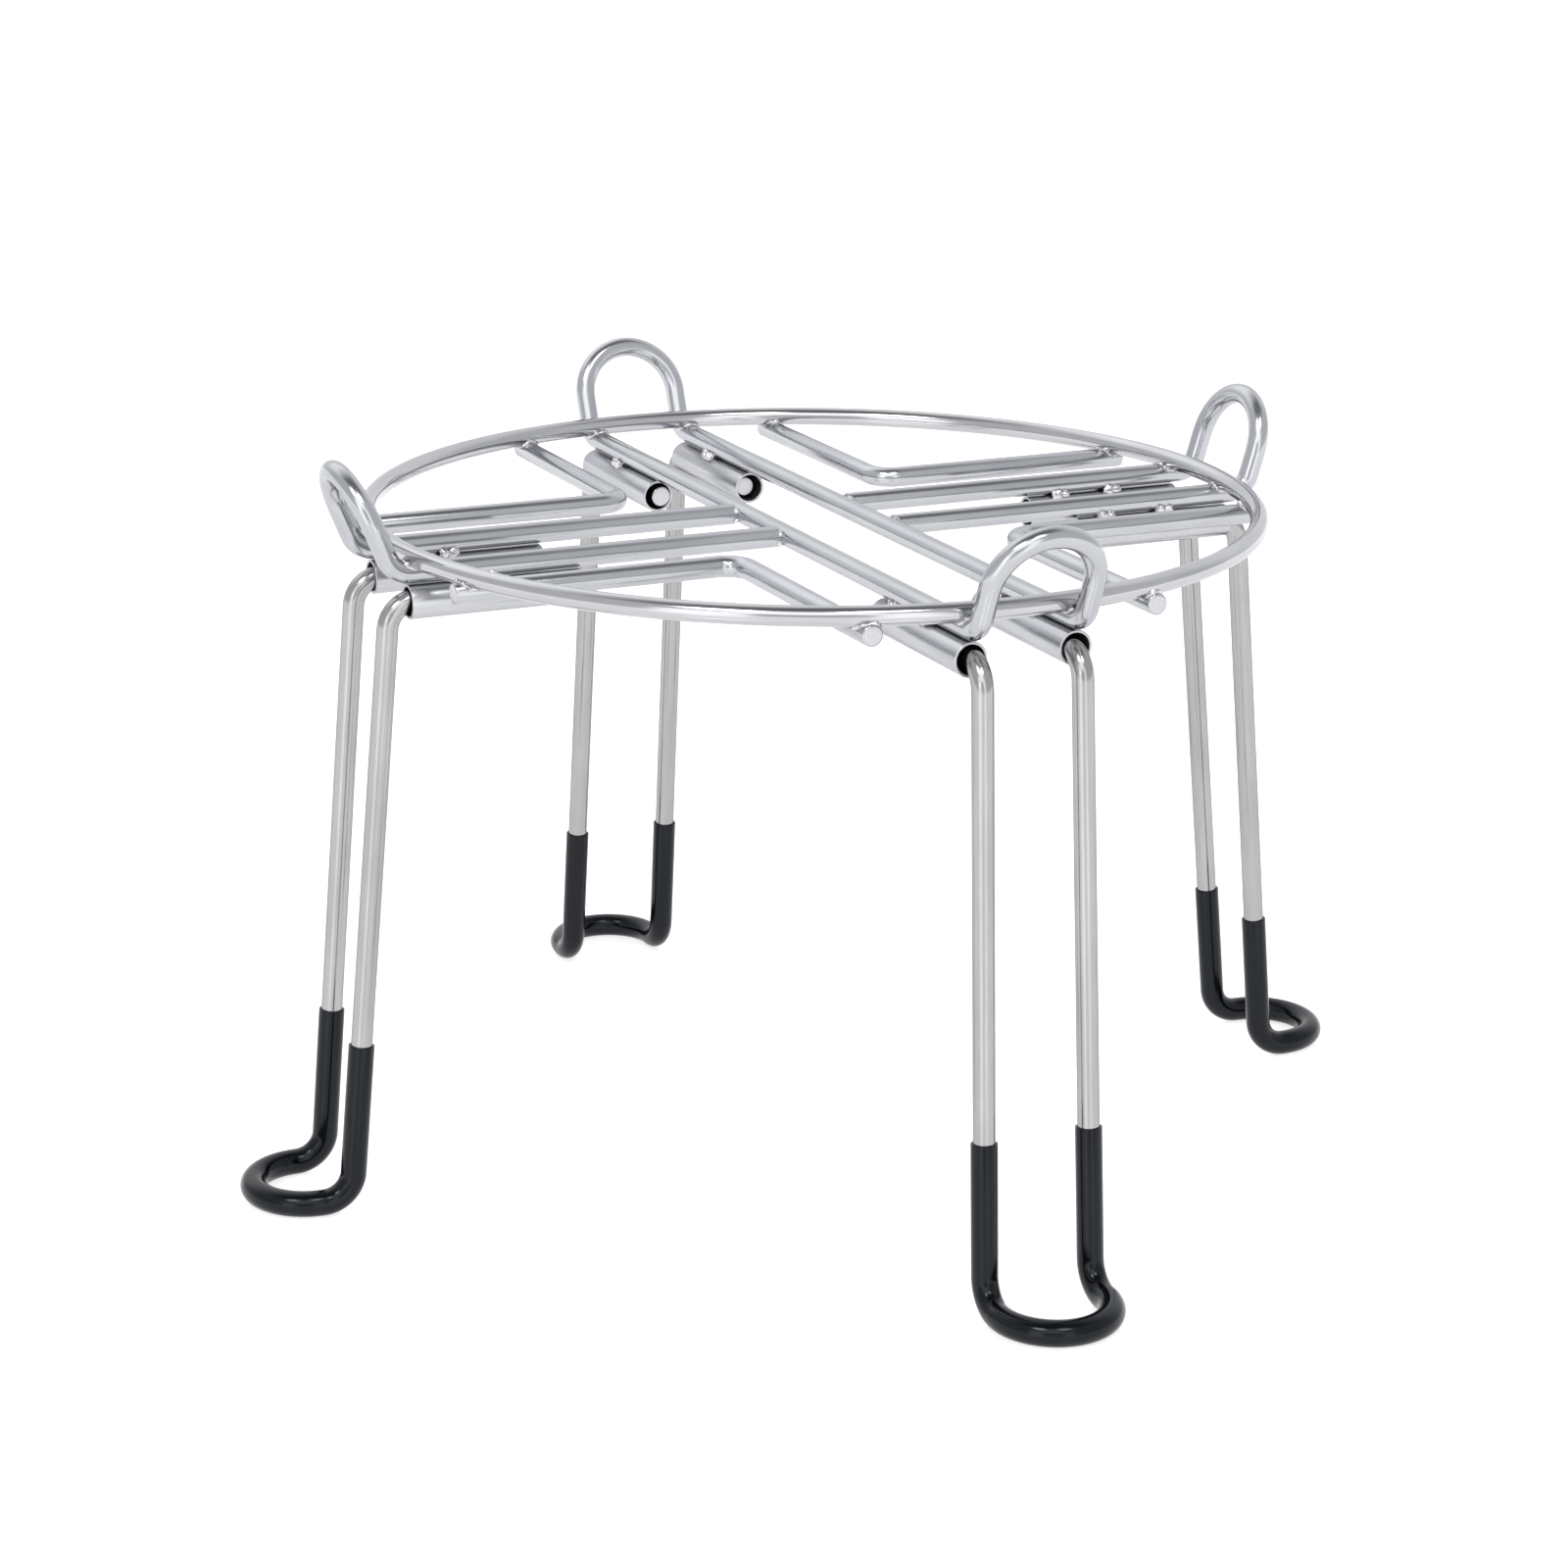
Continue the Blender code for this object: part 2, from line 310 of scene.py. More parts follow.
def stations_of(points, closed=False):
    """(point, up, across, tangent, distance along) for each point, carried along without twist."""
    tangents = tangents_of(points, closed)
    up = Vector((0, 0, 1))
    if abs(tangents[0].z) > STEEP:
        up = Vector((1, 0, 0))
    ups = []
    last = None
    for tangent in tangents:
        if last is not None:
            up = last.rotation_difference(tangent) @ up
        up = (up - tangent * up.dot(tangent)).normalized()
        ups.append(up.copy())
        last = tangent
    slip = 0.0
    if closed:
        home = last.rotation_difference(tangents[0]) @ ups[-1]
        home = (home - tangents[0] * home.dot(tangents[0])).normalized()
        slip = math.atan2(tangents[0].dot(home.cross(ups[0])), home.dot(ups[0]))
    stations = []
    along = 0.0
    for i, point in enumerate(points):
        if i:
            along += (point - points[i - 1]).length
        tangent = tangents[i]
        up = Matrix.Rotation(slip * i / len(points), 3, tangent) @ ups[i]
        stations.append((point, up, tangent.cross(up), tangent, along))
    return stations


# ---------------------------------------------------------------- skins


class Skin:
    """Mesh data being collected. Each face corner keeps its place on the straightened wire."""

    def __init__(self):
        self.points = []
        self.faces = []
        self.finishes = []
        self.spaces = []

    def ring(self, station, radius, sides, shift=0.0):
        """Vertices round a station, and what is needed to place them on the straight wire."""
        point, up, across, tangent, along = station
        first = len(self.points)
        for k in range(sides):
            angle = k * math.tau / sides
            spoke = up * math.cos(angle) + across * math.sin(angle)
            self.points.append(point + tangent * shift + spoke * radius)
        return first, radius, along + shift, sides

    def space(self, ring, k, along=None):
        """Where a vertex of a ring lies on the straightened wire."""
        _, radius, own, sides = ring
        angle = k * math.tau / sides
        along = own if along is None else along
        return along, radius * math.cos(angle), radius * math.sin(angle)

    def join(self, near, far, finish=0, far_along=None):
        """Quads between two rings."""
        sides = near[3]
        for k in range(sides):
            n = (k + 1) % sides
            self.faces.append((near[0] + k, near[0] + n, far[0] + n, far[0] + k))
            self.finishes.append(finish)
            self.spaces += [self.space(near, k), self.space(near, n)]
            self.spaces += [self.space(far, n, far_along), self.space(far, k, far_along)]

    def fan(self, ring, finish=0, flip=False):
        """Triangles from a ring to its middle."""
        first, _, along, sides = ring
        middle = sum((self.points[first + k] for k in range(sides)), Vector()) / sides
        self.points.append(middle)
        centre = len(self.points) - 1
        for k in range(sides):
            n = (k + 1) % sides
            a, b = (n, k) if flip else (k, n)
            self.faces.append((first + a, first + b, centre))
            self.finishes.append(finish)
            self.spaces += [self.space(ring, a), self.space(ring, b), (along, 0, 0)]


def edge_profile(size):
    """(drop in radius, shift along) of the rings that round an edge, from the end face inwards."""
    profile = []
    for i in range(EDGE_STEPS + 1):
        turn = math.pi / 2 * i / EDGE_STEPS
        profile.append((size * (1 - math.sin(turn)), size * (1 - math.cos(turn))))
    return profile


def join_all(skin, rings, total=None):
    """Join rings in a row, and the last to the first where a total length closes them."""
    for near, far in zip(rings, rings[1:]):
        skin.join(near, far)
    if total is not None:
        skin.join(rings[-1], rings[0], far_along=total)


def add_wire(skin, points, diameter, closed=False, edge=EDGE_ROUND):
    """A round wire; free ends are cut square, with the edge rounded, in finish 1."""
    stations = stations_of(points, closed)
    radius = diameter / 2
    if closed:
        rings = [skin.ring(s, radius, WIRE_SIDES) for s in stations]
        join_all(skin, rings, stations[-1][4] + (points[0] - points[-1]).length)
        return
    start, end = stations[0], stations[-1]
    profile = edge_profile(edge)
    rings = [skin.ring(start, radius - drop, WIRE_SIDES, shift) for drop, shift in profile]
    rings += [skin.ring(s, radius, WIRE_SIDES) for s in stations[1:-1]]
    rings += [skin.ring(end, radius - drop, WIRE_SIDES, -shift) for drop, shift in reversed(profile)]
    join_all(skin, rings)
    inner_start = skin.ring(start, radius / 2, WIRE_SIDES)
    inner_end = skin.ring(end, radius / 2, WIRE_SIDES)
    skin.join(inner_start, rings[0], finish=1)
    skin.join(rings[-1], inner_end, finish=1)
    skin.fan(inner_start, finish=1, flip=True)
    skin.fan(inner_end, finish=1)


def add_pipe(skin, points, outside, bore, lip, sides):
    """An open pipe with rounded lips; the bore is in finish 1."""
    stations = stations_of(points)
    start, end = stations[0], stations[-1]
    outer, inner = outside / 2, bore / 2
    profile = edge_profile(lip)
    loop = [(start, outer - drop, shift, False) for drop, shift in profile]
    loop += [(station, outer, 0.0, False) for station in stations[1:-1]]
    loop += [(end, outer - drop, -shift, False) for drop, shift in reversed(profile)]
    loop += [(end, inner + drop, -shift, drop == 0) for drop, shift in profile]
    loop += [(station, inner, 0.0, True) for station in stations[-2:0:-1]]
    loop += [(start, inner + drop, shift, drop == 0) for drop, shift in reversed(profile)]
    rings = [skin.ring(station, radius, sides, shift) for station, radius, shift, _ in loop]
    for i, near in enumerate(rings):
        after = (i + 1) % len(rings)
        in_bore = loop[i][3] and loop[after][3]
        skin.join(near, rings[after], finish=int(in_bore))


def bumpy(point, seed, size):
    """A lump height between about -1 and 1 at a point on weld metal."""
    offset = Vector([seed * step for step in BUMP_STEP])
    broad = noise.noise(point / (size * BUMP_BROAD[0]) + offset)
    fine = noise.noise(point / (size * BUMP_FINE[0]) + offset)
    return broad * BUMP_BROAD[1] + fine * BUMP_FINE[1]


def add_collar(skin, line, thickness, seed):
    """A closed bead of weld metal along a line, thick and thin by turns."""
    stations = stations_of(line, closed=True)
    rings = []
    for station in stations:
        first, _, along, sides = skin.ring(station, thickness, BEAD_SIDES)
        for k in range(first, first + sides):
            spoke = (skin.points[k] - station[0]).normalized()
            relief = bumpy(skin.points[k], seed, RING_BEAD_GRAIN)
            grown = thickness * (1 + RING_BEAD_RELIEF * relief)
            skin.points[k] = station[0] + spoke * max(grown, thickness * RING_BEAD_LEAST)
        rings.append((first, thickness, along, sides))
    join_all(skin, rings, stations[-1][4] + (line[0] - line[-1]).length)


def add_nugget(skin, centre, along, side, rise, seed, relief):
    """A closed lump of weld metal on three half axes."""
    rings = []
    length = along.length
    for i in range(NUGGET_BANDS + 1):
        turn = math.pi * (i + 0.5) / (NUGGET_BANDS + 1)
        station = (centre - along * math.cos(turn), rise.normalized(), side.normalized(),
                   along.normalized(), length * (1 - math.cos(turn)))
        first, _, place, sides = skin.ring(station, 1.0, NUGGET_SIDES)
        for k in range(sides):
            angle = k * math.tau / sides
            spoke = rise * math.cos(angle) + side * math.sin(angle)
            arm = spoke * math.sin(turn) - along * math.cos(turn)
            grown = 1 + relief * bumpy(centre + arm, seed, NUGGET_GRAIN)
            skin.points[first + k] = centre + arm * grown
        rings.append((first, side.length * math.sin(turn), place, sides))
    join_all(skin, rings)
    skin.fan(rings[0], flip=True)
    skin.fan(rings[-1])


# ---------------------------------------------------------------- finishes


def shader_of(name):
    """A new node material: itself, its nodes, its links and its shader."""
    material = bpy.data.materials.new(name)
    material.use_nodes = True
    nodes = material.node_tree.nodes
    return material, nodes, material.node_tree.links, nodes["Principled BSDF"]


def mapped_noise(nodes, links, scale, detail=3.0, roughness=0.5):
    """Noise on the straightened wire; scale is (along, across) in features per metre."""
    place = nodes.new("ShaderNodeAttribute")
    place.attribute_name = "wire_space"
    stretch = nodes.new("ShaderNodeMapping")
    stretch.inputs["Scale"].default_value = (scale[0], scale[1], scale[1])
    texture = nodes.new("ShaderNodeTexNoise")
    texture.inputs["Scale"].default_value = 1.0
    texture.inputs["Detail"].default_value = detail
    texture.inputs["Roughness"].default_value = roughness
    links.new(place.outputs["Vector"], stretch.inputs["Vector"])
    links.new(stretch.outputs["Vector"], texture.inputs["Vector"])
    return texture.outputs["Fac"]


def ramp_of(nodes, links, factor, stops):
    """A colour ramp through (position, colour) stops."""
    ramp = nodes.new("ShaderNodeValToRGB")
    elements = ramp.color_ramp.elements
    while len(elements) < len(stops):
        elements.new(0.5)
    for element, (position, colour) in zip(elements, stops):
        element.position = position
        element.color = (*colour, 1.0)
    links.new(factor, ramp.inputs["Fac"])
    return ramp.outputs["Color"]


def range_of(nodes, links, value, low, high, source=(0.3, 0.7)):
    """A value carried from the source range to low and high."""
    step = nodes.new("ShaderNodeMapRange")
    step.inputs["From Min"].default_value = source[0]
    step.inputs["From Max"].default_value = source[1]
    step.inputs["To Min"].default_value = low
    step.inputs["To Max"].default_value = high
    links.new(value, step.inputs["Value"])
    return step.outputs["Result"]


def bump_of(nodes, links, height, relief, share=1.0, under=None):
    """Relief with a (depth, strength), on top of the relief under it."""
    depth, strength = relief
    bump = nodes.new("ShaderNodeBump")
    bump.inputs["Distance"].default_value = depth
    bump.inputs["Strength"].default_value = strength * share
    links.new(height, bump.inputs["Height"])
    if under is not None:
        links.new(under, bump.inputs["Normal"])
    return bump.outputs["Normal"]


def steel(name, pale, deep, smooth, rough, streak=2400.0, relief=1.0, edge=GRAZING):
    """Drawn stainless steel: streaks along the wire, cloudy tint and fine pits.

    The colour runs from pale to deep and the roughness from smooth to rough.
    """
    material, nodes, links, shader = shader_of(name)
    streaks = mapped_noise(nodes, links, (STEEL_STREAKS, streak), detail=4.0)
    clouds = mapped_noise(nodes, links, STEEL_CLOUDS, detail=3.0)
    pits = mapped_noise(nodes, links, STEEL_PITS, detail=2.0)
    mid = tuple((a + b) / 2 for a, b in zip(pale, deep))
    tint = ramp_of(nodes, links, clouds, list(zip(STEEL_STOPS, (deep, mid, pale))))
    links.new(tint, shader.inputs["Base Color"])
    links.new(range_of(nodes, links, streaks, smooth, rough), shader.inputs["Roughness"])
    low = bump_of(nodes, links, streaks, STREAK_RELIEF, relief)
    top = bump_of(nodes, links, pits, PIT_RELIEF, relief, under=low)
    links.new(top, shader.inputs["Normal"])
    shader.inputs["Metallic"].default_value = 1.0
    shader.inputs["Specular Tint"].default_value = (edge, edge, edge * GRAZING_BLUE, 1.0)
    return material


def cut_steel(name):
    """The sawn face of a wire end: dull, with fine cross marks."""
    material, nodes, links, shader = shader_of(name)
    marks = mapped_noise(nodes, links, CUT_MARKS, detail=4.0, roughness=0.7)
    links.new(ramp_of(nodes, links, marks, CUT_TINTS), shader.inputs["Base Color"])
    links.new(range_of(nodes, links, marks, *CUT_ROUGH), shader.inputs["Roughness"])
    links.new(bump_of(nodes, links, marks, CUT_RELIEF), shader.inputs["Normal"])
    shader.inputs["Metallic"].default_value = 1.0
    return material


def weld_steel(name):
    """Weld metal: glossy and rippled, pitted, with a trace of straw and grey heat colour."""
    material, nodes, links, shader = shader_of(name)
    ripple = mapped_noise(nodes, links, WELD_RIPPLE, detail=3.0)
    heat = mapped_noise(nodes, links, WELD_HEAT, detail=2.0)
    links.new(ramp_of(nodes, links, heat, WELD_TINTS), shader.inputs["Base Color"])
    links.new(range_of(nodes, links, ripple, *WELD_ROUGH), shader.inputs["Roughness"])
    links.new(bump_of(nodes, links, ripple, RIPPLE_RELIEF), shader.inputs["Normal"])
    shader.inputs["Metallic"].default_value = 1.0
    return material


def bore_painted_shade(name):
    """The inside of a socket tube: painted shade, near black with a random mottle."""
    material, nodes, links, shader = shader_of(name)
    scale = mapped_noise(nodes, links, BORE_SCALE, detail=3.0)
    links.new(ramp_of(nodes, links, scale, BORE_SHADE_TINTS), shader.inputs["Base Color"])
    links.new(range_of(nodes, links, scale, *BORE_ROUGH), shader.inputs["Roughness"])
    shader.inputs["Specular IOR Level"].default_value = BORE_SHINE
    return material


def black_vinyl(name):
    """Soft extruded vinyl: near black, half glossy, faint lengthwise draw and orange peel."""
    material, nodes, links, shader = shader_of(name)
    peel = mapped_noise(nodes, links, VINYL_PEEL, detail=2.0)
    draw = mapped_noise(nodes, links, VINYL_DRAW, detail=3.0)
    dust = mapped_noise(nodes, links, VINYL_DUST, detail=4.0)
    links.new(ramp_of(nodes, links, dust, VINYL_TINTS), shader.inputs["Base Color"])
    links.new(range_of(nodes, links, dust, *VINYL_ROUGH), shader.inputs["Roughness"])
    low = bump_of(nodes, links, peel, PEEL_RELIEF)
    links.new(bump_of(nodes, links, draw, DRAW_RELIEF, under=low), shader.inputs["Normal"])
    shader.inputs["Specular IOR Level"].default_value = VINYL_SHINE
    shader.inputs["Specular Tint"].default_value = VINYL_SHINE_TINT
    return material


RING_STEEL = steel("ring_drawn_steel", (0.525, 0.525, 0.535), (0.468, 0.47, 0.487), 0.09, 0.14,
                   edge=0.85)
FRAME_STEEL = steel("frame_drawn_steel", (0.50, 0.506, 0.526), (0.446, 0.453, 0.475), 0.15, 0.21,
                    edge=0.8)
LEG_STEEL = steel("leg_drawn_steel", (0.415, 0.411, 0.408), (0.358, 0.356, 0.359), 0.14, 0.21,
                  edge=0.5)
TUBE_STEEL = steel("socket_tube_steel", (0.52, 0.525, 0.545), (0.46, 0.465, 0.487), 0.24, 0.32,
                   streak=1500.0, relief=0.6)
CUT_STEEL = cut_steel("cut_end_steel")
WELD_STEEL = weld_steel("weld_metal")
# The bore's near-black colour is painted shade inside the tubes
BORE_PAINTED_SHADE = bore_painted_shade("socket_bore_steel")
VINYL = black_vinyl("foot_sleeve_vinyl")
VINYL_CUT = black_vinyl("foot_sleeve_cut_vinyl")


# ---------------------------------------------------------------- pieces


def make_piece(name, skin, finishes, body, nodes=()):
    """Turn collected mesh data into a named piece that rides on a CAD body."""
    data = bpy.data.meshes.new(name)
    data.from_pydata(skin.points, [], skin.faces)
    spaces = data.attributes.new("wire_space", "FLOAT_VECTOR", "CORNER")
    own = NAME_STEP * len(name) + LETTER_STEP * sum(ord(letter) for letter in name)
    flat = []
    for along, rise, side in skin.spaces:
        flat += [along + own % GRAIN_SPAN, rise, side]
    spaces.data.foreach_set("vector", flat)
    for finish in finishes:
        data.materials.append(finish)
    data.polygons.foreach_set("material_index", skin.finishes)
    data.shade_smooth()
    data.set_sharp_from_angle(angle=SHARP_ANGLE)
    data.update()
    piece = bpy.data.objects.new(name, data)
    bpy.context.scene.collection.objects.link(piece)
    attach(piece, body)
    if nodes:
        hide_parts(*nodes)
    return piece


def loop_corners(side):
    """The four bends of an upturned loop: up, over and down again outside the ring."""
    foot = LOOP_FOOTS[side]
    places = [
        (foot, -HALF_SPACING, FRAME_Z, LOOP_BEND),
        (LOOP_TOP, -HALF_SPACING, FRAME_Z + LOOP_RISE, HALF_SPACING),
        (LOOP_TOP, HALF_SPACING, FRAME_Z + LOOP_RISE, HALF_SPACING),
        (foot, HALF_SPACING, FRAME_Z, LOOP_BEND),
    ]
    return [(turned(side) @ Vector((x, y, z)), bend) for x, y, z, bend in places]


def make_ring():
    """The top ring, one closed wire."""
    points = []
    for i in range(RING_STATIONS):
        angle = (i + 0.5) * math.tau / RING_STATIONS
        point = Vector((math.cos(angle), math.sin(angle), 0)) * RING_RADIUS
        point.z = RING_Z
        points.append(point)
    skin = Skin()
    add_wire(skin, points, RING_WIRE, closed=True)
    make_piece("ring_wire_body", skin, [RING_STEEL], "rack", ["top_ring"])


def make_long_frame():
    """The endless wire of the two long bars and the front and back loops."""
    corners = loop_corners("front") + loop_corners("back")
    skin = Skin()
    add_wire(skin, rounded_route(corners, closed=True), FRAME_WIRE, closed=True)
    make_piece("long_frame_body", skin, [FRAME_STEEL], "rack", ["long_frame_wire"])


def arm_inner_end():
    """How far from the middle an arm's cut ends stand: against the side of a long bar."""
    return HALF_SPACING + FRAME_WIRE / 2 - ARM_SINK


def make_arm(side):
    """The two short bars and the loop of one side."""
    start = (turned(side) @ Vector((arm_inner_end(), -HALF_SPACING, FRAME_Z)), 0)
    end = (turned(side) @ Vector((arm_inner_end(), HALF_SPACING, FRAME_Z)), 0)
    skin = Skin()
    add_wire(skin, rounded_route([start] + loop_corners(side) + [end]), FRAME_WIRE)
    make_piece(f"{side}_arm_body", skin, [FRAME_STEEL, CUT_STEEL], "rack",
               [f"{side}_arm_wire"])


def make_corner_wire(place):
    """The L of wire in one quarter."""
    along_x, along_y = CORNERS[place]
    corners = [
        (Vector((along_x * CORNER_REACH, along_y * CORNER_OFFSET, FRAME_Z)), 0),
        (Vector((along_x * CORNER_OFFSET, along_y * CORNER_OFFSET, FRAME_Z)), CORNER_BEND),
        (Vector((along_x * CORNER_OFFSET, along_y * CORNER_REACH, FRAME_Z)), 0),
    ]
    skin = Skin()
    add_wire(skin, rounded_route(corners), FRAME_WIRE, edge=CORNER_EDGE)
    make_piece(f"{place}_corner_body", skin, [FRAME_STEEL, CUT_STEEL], "rack",
               [f"{place}_corner_wire"])


def make_sockets(side):
    """The pair of tubes that one leg plugs into."""
    for sign, place in zip((-1, 1), SOCKET_SIDES[side]):
        ends = []
        for reach in (TUBE_START, (TUBE_START + TUBE_END) / 2, TUBE_END):
            ends.append(turned(side) @ Vector((reach, sign * HALF_SPACING, SOCKET_Z)))
        skin = Skin()
        add_pipe(skin, ends, TUBE_OUTSIDE, TUBE_BORE, TUBE_LIP, TUBE_SIDES)
        node = f"{side}_socket_{place}"
        make_piece(f"{node}_body", skin, [TUBE_STEEL, BORE_PAINTED_SHADE], "rack", [node])


def settled(point, outwards, sideways, turn, ankle):
    """A point of a leg, moved by how the leg settles: nothing at the tubes, all at the floor."""
    share = min(1.0, max(0.0, (SOCKET_Z - point.z) / (SOCKET_Z - SLEEVE_OUTSIDE / 2)))
    pivot = Vector((ankle, 0, 0))
    spin = Matrix.Rotation(math.radians(turn * share), 3, "Z")
    return pivot + spin @ (point - pivot) + Vector((outwards, sideways, 0)) * share


def leg_corners(side):
    """One leg's centre line with X pointing outwards, sprung together at the top."""
    outwards, sideways, turn, _, short = LEG_SETS[side]
    foot_z = SLEEVE_OUTSIDE / 2
    wide = HALF_SPACING + FOOT_SPREAD
    ankle = STRAND_TOP + (SOCKET_Z - foot_z) * LEG_SPLAY
    toe = ankle + FOOT_STRAIGHT + HALF_SPACING
    half = [
        (Vector((STUB_START, STUB_PINCH - HALF_SPACING, SOCKET_Z)), 0),
        (Vector((STRAND_TOP, MOUTH_PINCH - HALF_SPACING, SOCKET_Z + MOUTH_LIFT)), LEG_TOP_BEND),
        (Vector((ankle, -wide, foot_z)), LEG_FOOT_BEND),
        (Vector((toe, -wide, foot_z)), wide - TOE_SLACK),
    ]
    mirrored = [(Vector((p.x, -p.y, p.z)), bend) for p, bend in reversed(half)]
    half[0][0].x += short
    return [(settled(p, outwards, sideways, turn, ankle), bend) for p, bend in half + mirrored]


def make_leg(side):
    """One leg and the sleeve on its foot."""
    corners = [(turned(side) @ point, bend) for point, bend in leg_corners(side)]
    wire = Skin()
    add_wire(wire, rounded_route(corners), FRAME_WIRE)
    make_piece(f"{side}_leg_body", wire, [LEG_STEEL, CUT_STEEL], f"{side}_leg",
               [f"{side}_leg_wire"])
    fraction = LEG_SETS[side][3] / (SOCKET_Z - SLEEVE_OUTSIDE / 2)
    first = corners[2][0].lerp(corners[1][0], fraction)
    last = corners[-3][0].lerp(corners[-2][0], fraction)
    cover = Skin()
    route = rounded_route([(first, 0)] + corners[2:-2] + [(last, 0)])
    add_pipe(cover, route, SLEEVE_OUTSIDE, FRAME_WIRE + SLEEVE_ROOM, LIP_ROUND, WIRE_SIDES)
    make_piece(f"{side}_sleeve_body", cover, [VINYL, VINYL_CUT], f"{side}_leg",
               [f"{side}_foot_sleeve"])


# ---------------------------------------------------------------- weld metal


def crossing_line(place, bar_direction):
    """The crease round a crossing of the ring and a wire under it."""
    ring_direction = Vector((-place.y, place.x, 0)).normalized()
    drop = RING_Z - FRAME_Z
    bar_radius = FRAME_WIRE / 2
    ring_radius = RING_WIRE / 2
    line = []
    for i in range(CREASE_STATIONS):
        angle = i * math.tau / CREASE_STATIONS
        spoke = Vector((math.cos(angle), math.sin(angle), 0))
        off_bar = abs(spoke.cross(bar_direction).z)
        off_ring = abs(spoke.cross(ring_direction).z)
        low, high = 0.0, min(bar_radius / max(off_bar, 1e-6), ring_radius / max(off_ring, 1e-6))
        for _ in range(CREASE_STEPS):
            middle = (low + high) / 2
            bar_top = math.sqrt(max(0.0, bar_radius ** 2 - (middle * off_bar) ** 2))
            ring_low = math.sqrt(max(0.0, ring_radius ** 2 - (middle * off_ring) ** 2))
            if bar_top + ring_low > drop:
                low = middle
            else:
                high = middle
        height = FRAME_Z + math.sqrt(max(0.0, bar_radius ** 2 - (low * off_bar) ** 2))
        line.append(Vector((place.x, place.y, height)) + spoke * (low + CREASE_GAP))
    return line


def ring_crossings():
    """(place, direction of the wire below) for the 16 points where the ring is welded down."""
    found = []
    for offset in (HALF_SPACING, CORNER_OFFSET):
        reach = math.sqrt(RING_RADIUS ** 2 - offset ** 2)
        for a in (-1, 1):
            for b in (-1, 1):
                found.append((Vector((a * offset, b * reach, 0)), Vector((0, 1, 0))))
                found.append((Vector((a * reach, b * offset, 0)), Vector((1, 0, 0))))
    return found


def make_ring_welds():
    """A bead round each of the ring's crossings."""
    skin = Skin()
    for seed, (place, direction) in enumerate(ring_crossings()):
        add_collar(skin, crossing_line(place, direction), RING_BEAD, seed)
    make_piece("ring_weld_beads", skin, [WELD_STEEL], "rack")


def half_axes(turn, sizes):
    """Three half axes of a lump: along its bar, across it and upwards."""
    along, across, upwards = sizes
    return turn @ Vector((along, 0, 0)), turn @ Vector((0, across, 0)), Vector((0, 0, upwards))


def make_arm_welds():
    """Lumps in the creases where the arms' cut ends meet the long bars."""
    skin = Skin()
    seed = FIRST_ARM_SEED
    reach = arm_inner_end() + ARM_LUMP_OUT
    for side in ("left", "right"):
        turn = turned(side)
        for sign in (-1, 1):
            for flank, rise in ARM_LUMPS:
                sideways = sign * HALF_SPACING + flank * ARM_LUMP_FLANK
                spot = Vector((reach, sideways, FRAME_Z + rise))
                axes = half_axes(turn, ARM_LUMP_HALF_AXES)
                add_nugget(skin, turn @ spot, *axes, seed, ARM_LUMP_RELIEF)
                seed += 1
    make_piece("arm_weld_beads", skin, [WELD_STEEL], "rack")


def make_socket_welds():
    """Lumps on both sides of each tube, where it hangs from its bar."""
    skin = Skin()
    seed = FIRST_SOCKET_SEED
    height = SOCKET_Z + WELD_HEIGHT
    for side in SIDE_ANGLES:
        turn = turned(side)
        for sign in (-1, 1):
            for reach, scale in SOCKET_WELDS[side]:
                for flank in (-1, 1):
                    drift = noise.noise(Vector((seed * DRIFT_STEP, *DRIFT_ROW))) * WELD_DRIFT
                    for step, share in WELD_LOBES:
                        size = share * scale
                        sideways = sign * HALF_SPACING + flank * WELD_FLANK
                        spot = Vector((reach + drift + step, sideways, height))
                        axes = half_axes(turn, [axis * size for axis in WELD_HALF_AXES])
                        add_nugget(skin, turn @ spot, *axes, seed, WELD_RELIEF)
                        seed += 1
    make_piece("socket_weld_beads", skin, [WELD_STEEL], "rack")


# ---------------------------------------------------------------- studio


def make_floor():
    """A plain white floor with a slight sheen, wide enough to fill the view behind the rack."""
    material, _, _, shader = shader_of("studio_floor_white")
    shader.inputs["Base Color"].default_value = FLOOR_WHITE
    shader.inputs["Roughness"].default_value = FLOOR_ROUGHNESS
    shader.inputs["Specular IOR Level"].default_value = FLOOR_SHINE
    shader.inputs["Emission Color"].default_value = (1.0, 1.0, 1.0, 1.0)
    shader.inputs["Emission Strength"].default_value = FLOOR_GLOW
    rim = []
    for i in range(FLOOR_SIDES):
        turn = i * math.tau / FLOOR_SIDES
        rim.append((FLOOR_RADIUS * math.cos(turn), FLOOR_RADIUS * math.sin(turn), 0))
    data = bpy.data.meshes.new("studio_floor")
    data.from_pydata(rim, [], [tuple(range(FLOOR_SIDES))])
    data.materials.append(material)
    floor = bpy.data.objects.new("studio_floor", data)
    bpy.context.scene.collection.objects.link(floor)


def camera_axes():
    """The camera's right, up and backward directions."""
    turn, rise = CAMERA_AZIMUTH, CAMERA_ELEVATION
    back = Vector((math.sin(turn) * math.cos(rise), -math.cos(turn) * math.cos(rise),
                   math.sin(rise)))
    right = Vector((math.cos(turn), math.sin(turn), 0))
    up = back.cross(right)
    rolled = right * math.cos(CAMERA_ROLL) + up * math.sin(CAMERA_ROLL)
    return rolled, back.cross(rolled), back


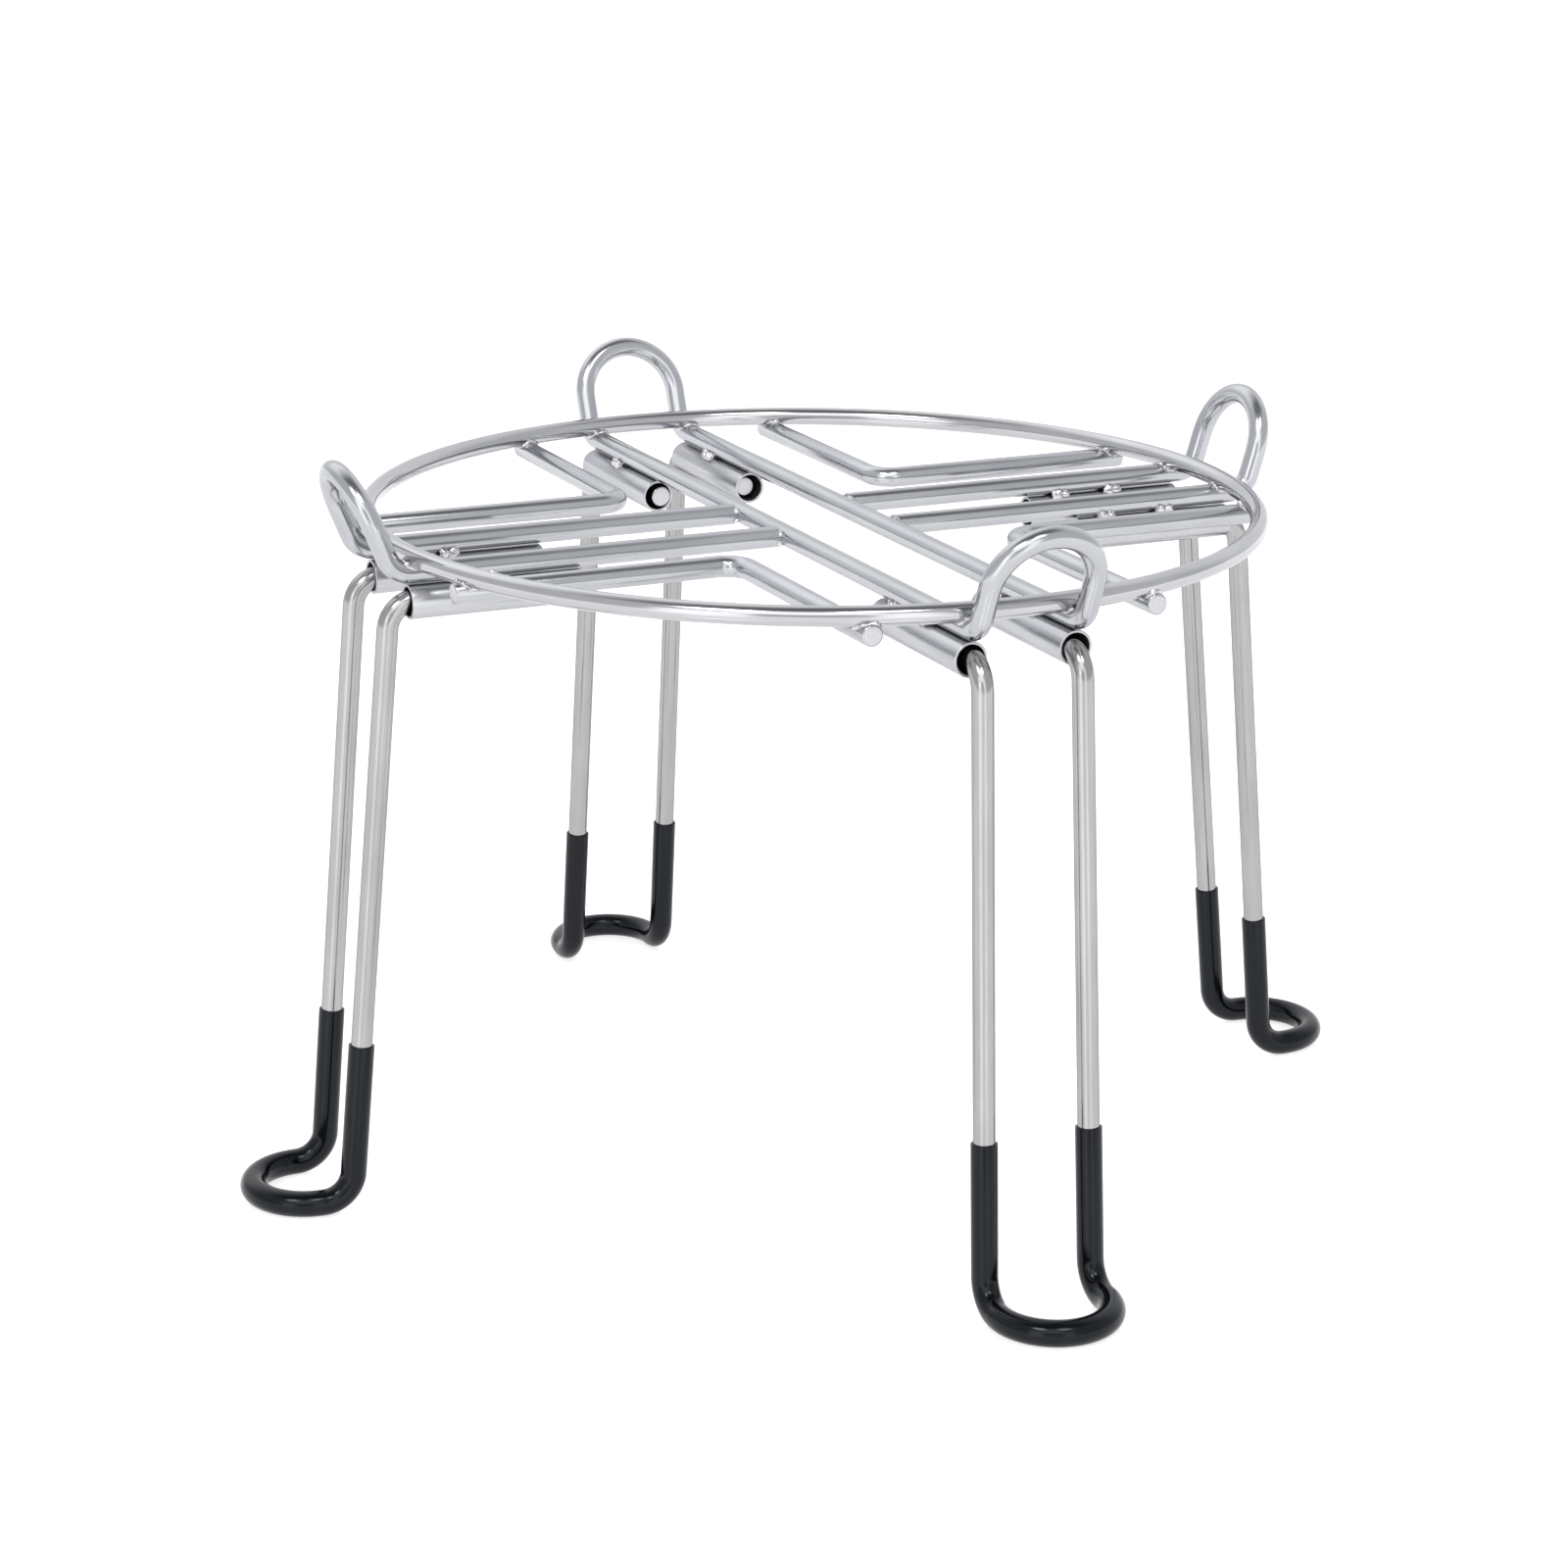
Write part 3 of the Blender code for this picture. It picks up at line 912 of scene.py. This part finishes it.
def make_camera():
    """The camera, at the angle from which the rack is seen."""
    data = bpy.data.cameras.new("front_camera")
    data.lens = CAMERA_LENS
    data.sensor_width = CAMERA_SENSOR
    data.clip_end = CAMERA_REACH
    camera = bpy.data.objects.new("front_camera", data)
    bpy.context.scene.collection.objects.link(camera)
    right, up, back = camera_axes()
    turn = Matrix((right, up, back)).transposed().to_4x4()
    camera.matrix_world = Matrix.Translation(CAMERA_PLACE) @ turn
    bpy.context.scene.camera = camera


def toward(swing, rise):
    """Direction that is swing degrees left of the camera and rise degrees up, from the rack."""
    front = Vector((math.sin(CAMERA_AZIMUTH), -math.cos(CAMERA_AZIMUTH), 0))
    left = Vector((-math.cos(CAMERA_AZIMUTH), -math.sin(CAMERA_AZIMUTH), 0))
    swing, rise = math.radians(swing), math.radians(rise)
    level = front * math.cos(swing) + left * math.sin(swing)
    return level * math.cos(rise) + Vector((0, 0, 1)) * math.sin(rise)


def add_glow(nodes, links, total, measure, low, high, strength):
    """Add a soft-edged patch of light where the measure goes from low to high."""
    step = nodes.new("ShaderNodeMapRange")
    step.interpolation_type = "SMOOTHSTEP"
    step.inputs["From Min"].default_value = low
    step.inputs["From Max"].default_value = high
    step.inputs["To Min"].default_value = 0.0
    step.inputs["To Max"].default_value = strength
    links.new(measure, step.inputs["Value"])
    add = nodes.new("ShaderNodeVectorMath")
    add.operation = "ADD"
    links.new(total, add.inputs[0])
    links.new(step.outputs["Result"], add.inputs[1])
    return add.outputs["Vector"]


def make_sky():
    """A soft studio dome: pale walls, a grey ceiling and soft boxes beside the camera."""
    world = bpy.data.worlds.new("studio_dome")
    bpy.context.scene.world = world
    world.use_nodes = True
    nodes, links = world.node_tree.nodes, world.node_tree.links
    place = nodes.new("ShaderNodeTexCoord")
    split = nodes.new("ShaderNodeSeparateXYZ")
    links.new(place.outputs["Generated"], split.inputs["Vector"])
    height = range_of(nodes, links, split.outputs["Z"], 0.0, 1.0, source=(-1.0, 1.0))
    stops = []
    for rise, value in DOME_STOPS:
        position = (math.sin(math.radians(rise)) + 1) / 2
        stops.append((position, tuple(value * share for share in DOME_TINT)))
    total = ramp_of(nodes, links, height, stops)
    for swing, rise, inner, outer, strength in SOFT_BOXES:
        dot = nodes.new("ShaderNodeVectorMath")
        dot.operation = "DOT_PRODUCT"
        dot.inputs[1].default_value = toward(swing, rise)
        links.new(place.outputs["Generated"], dot.inputs[0])
        low, high = math.cos(math.radians(outer)), math.cos(math.radians(inner))
        total = add_glow(nodes, links, total, dot.outputs["Value"], low, high, strength)
    links.new(total, nodes["Background"].inputs["Color"])


def main():
    """Build every piece, then the studio round them."""
    make_ring()
    make_long_frame()
    for side in ("left", "right"):
        make_arm(side)
    for place in CORNERS:
        make_corner_wire(place)
    for side in SIDE_ANGLES:
        make_sockets(side)
        make_leg(side)
    make_ring_welds()
    make_arm_welds()
    make_socket_welds()
    make_floor()
    make_sky()
    make_camera()
    bpy.context.scene.view_settings.view_transform = "Standard"


main()
